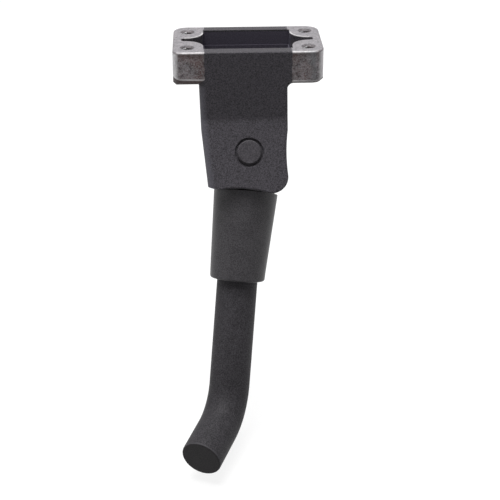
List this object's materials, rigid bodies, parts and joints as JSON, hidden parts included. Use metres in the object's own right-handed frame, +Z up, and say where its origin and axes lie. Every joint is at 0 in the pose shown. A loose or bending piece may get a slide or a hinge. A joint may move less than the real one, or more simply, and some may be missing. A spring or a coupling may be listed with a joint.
{
  "type": "electric scooter kickstand",
  "caption": "Kickstand with a cast flanged bracket, a tapered spring sleeve on a cross pin and a round leg bent to a foot; it folds up along the deck.",
  "frame": {"origin": "centre of the bracket's seating face, in the middle of the four tapped holes", "axes": "+Z up into the deck, -Y outboard toward the foot, +X the way the leg folds"},
  "size_m": [0.0498, 0.0784, 0.1342],
  "materials": {
    "cast_black": "semi-matt black paint on a casting, bare metal on the ears",
    "pin_black": "semi-matt black",
    "bright_steel": "plain steel",
    "spring_steel": "oiled spring wire",
    "sleeve_grey": "smooth satin dark grey",
    "leg_black": "fine sandy black powder coat"
  },
  "bodies": {
    "bracket": {"bracket": "cast_black", "pivot_pin": "pin_black", "pin_clip": "bright_steel"},
    "tie_rod": {"tie_rod": "bright_steel", "spring_washer": "bright_steel", "lock_nut": "bright_steel"},
    "leg": {"sleeve": "sleeve_grey", "leg": "leg_black", "spring": "spring_steel"}
  },
  "joints": [
    {"name": "leg_swing", "type": "hinge", "parent": "bracket", "child": "tie_rod", "pos_m": [0, -0.00511, -0.03859], "axis": [0, -0.9272, 0.3746], "range_deg": [0, 95.7]},
    {"name": "leg_pull", "type": "slide", "parent": "tie_rod", "child": "leg", "axis": [-0.0993, -0.3728, -0.9226], "range_m": [0, 0.004], "stiffness_N_per_m": 13000, "springref_m": -0.002, "deforming": ["spring"]}
  ]
}
